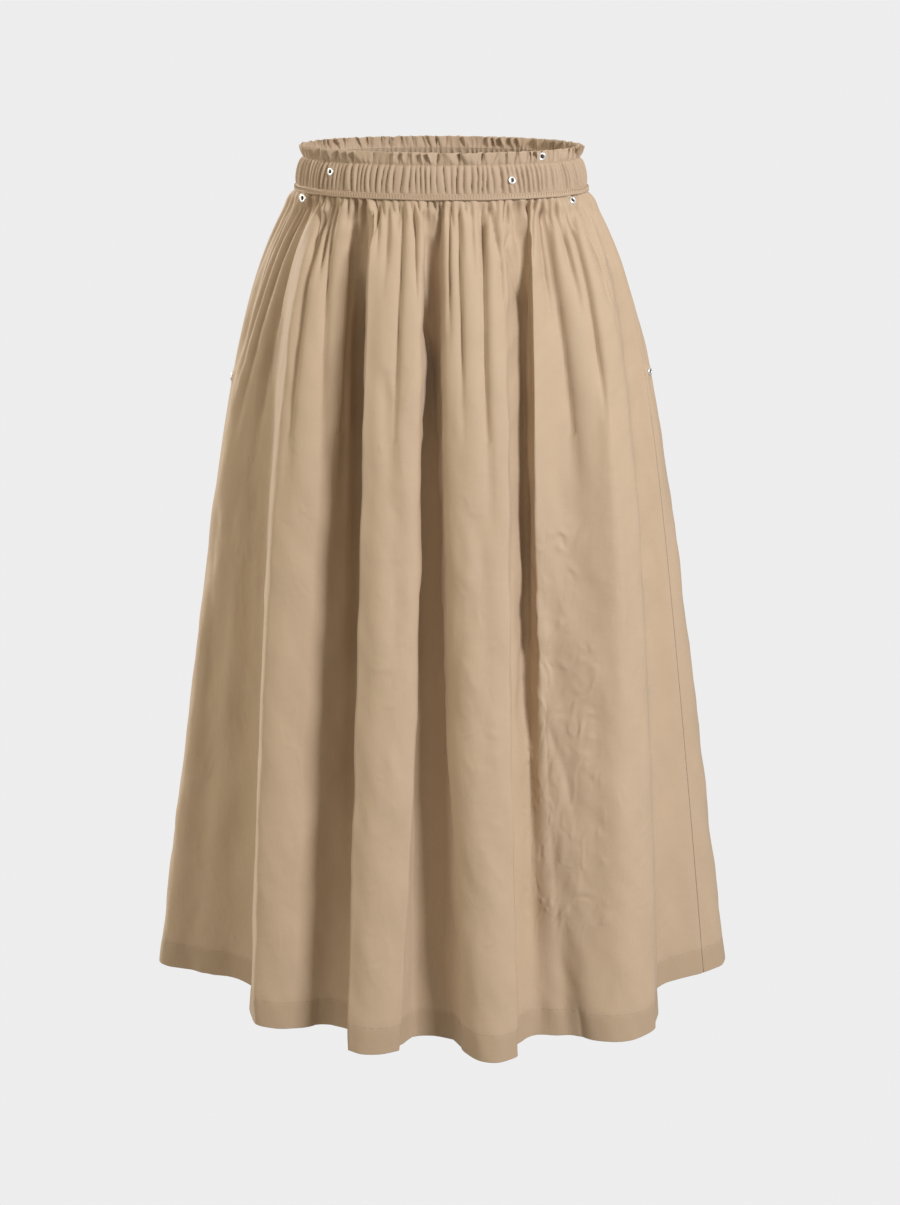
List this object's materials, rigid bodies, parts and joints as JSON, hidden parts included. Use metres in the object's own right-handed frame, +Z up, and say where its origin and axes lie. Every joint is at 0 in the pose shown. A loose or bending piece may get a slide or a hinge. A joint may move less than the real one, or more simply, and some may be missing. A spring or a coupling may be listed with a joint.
{
  "type": "a-line midi skirt",
  "caption": "A-line midi skirt with a frilled elastic waistband and deep soft folds, worn and hanging open, hollow from waist to hem.",
  "frame": {"origin": "middle of the elastic waistband, on the axis of the waist, where the wearer holds the skirt up", "axes": "+Z up, front of the skirt towards -Y, the wearer's left towards +X"},
  "size_m": [0.5616, 0.407, 0.7999],
  "materials": {
    "skirt_cloth": "khaki cotton poplin with a faint sheen",
    "band_cloth": "the same cotton, gathered over elastic",
    "tape_cloth": "narrow ribbed cotton tape",
    "eyelet_metal": "bright nickel"
  },
  "bodies": {
    "root": {"front_panel": "skirt_cloth", "back_panel": "skirt_cloth", "waistband": "band_cloth", "waist_tape": "tape_cloth", "eyelet_band_left": "eyelet_metal", "eyelet_band_right": "eyelet_metal", "eyelet_frill_right": "eyelet_metal", "eyelet_pocket_left_top": "eyelet_metal", "eyelet_pocket_right_top": "eyelet_metal", "eyelet_pocket_left_foot": "eyelet_metal", "eyelet_pocket_right_foot": "eyelet_metal"}
  },
  "joints": []
}
